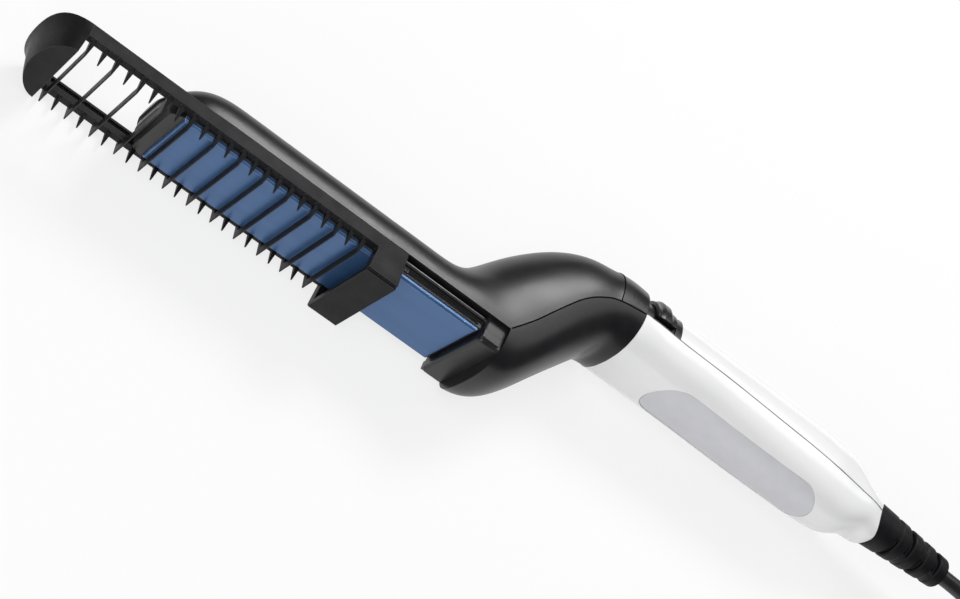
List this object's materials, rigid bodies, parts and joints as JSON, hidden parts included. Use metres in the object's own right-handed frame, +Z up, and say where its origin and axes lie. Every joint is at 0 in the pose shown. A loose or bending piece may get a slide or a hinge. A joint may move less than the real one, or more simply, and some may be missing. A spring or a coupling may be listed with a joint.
{
  "type": "heated hair comb",
  "caption": "Heated straightening comb: blue plate in a bent black head with a sliding comb attachment, slide switch, white handle and mains cord",
  "frame": {"origin": "bottom centre of the bounding box of the comb without its free cord, on the surface it lies on", "axes": "+X from the comb's tip to the cord, +Y from the teeth to the back, +Z up, across the comb's width"},
  "size_m": [0.4694, 0.0957, 0.0336],
  "materials": {
    "comb_plastic": "fine satin texture",
    "head_plastic": "satin",
    "gloss_black": "gloss",
    "plate_coating": "satin blue coating",
    "bare_metal": "mill",
    "spring_steel": "brushed",
    "screw_steel": "zinc plated",
    "insulation": "matte",
    "board": "solder mask",
    "component": "lacquered",
    "handle_white": "gloss white",
    "label": "satin film",
    "lead_brown": "matte",
    "lead_blue": "matte",
    "relief_rubber": "satin",
    "cord_rubber": "semi-gloss",
    "tie": "woven strap",
    "pin_brass": "nickel plated"
  },
  "bodies": {
    "housing": {"head_tray": "head_plastic", "upper_shell": "head_plastic", "neck_lower_shell": "head_plastic", "heating_plate": "plate_coating", "ptc_heater": "bare_metal", "heater_clip": "spring_steel", "mica_sheet": "insulation", "thermal_fuse": "insulation", "tray_screw_1": "screw_steel", "tray_screw_2": "screw_steel", "switch_bezel": "gloss_black", "slide_switch": "head_plastic", "circuit_board": "board", "film_capacitor": "component", "resistor_1": "component", "resistor_2": "component", "terminal_block": "insulation", "handle_lower_shell": "handle_white", "handle_upper_shell": "handle_white", "handle_screw_1": "screw_steel", "handle_screw_2": "screw_steel", "rating_label": "label", "cord_clamp": "insulation", "clamp_screw_1": "screw_steel", "clamp_screw_2": "screw_steel", "heater_lead_live": "lead_brown", "heater_lead_neutral": "lead_blue", "mains_lead_live": "lead_brown", "mains_lead_neutral": "lead_blue", "cord_tail": "cord_rubber", "strain_relief": "relief_rubber", "power_cord": "cord_rubber", "cord_coil": "cord_rubber", "cord_tie": "tie", "plug_lead": "cord_rubber", "plug_body": "gloss_black", "plug_pin_1": "pin_brass", "plug_pin_2": "pin_brass"},
    "comb": {"comb_attachment": "comb_plastic"},
    "switch": {"switch_knob": "gloss_black", "switch_lever": "head_plastic"}
  },
  "joints": [
    {"name": "comb_slide", "type": "slide", "parent": "housing", "child": "comb", "axis": [1, 0, 0], "range_m": [-0.06, 0.028]},
    {"name": "switch_slide", "type": "slide", "parent": "housing", "child": "switch", "axis": [1, 0, 0], "range_m": [-0.003, 0]}
  ]
}
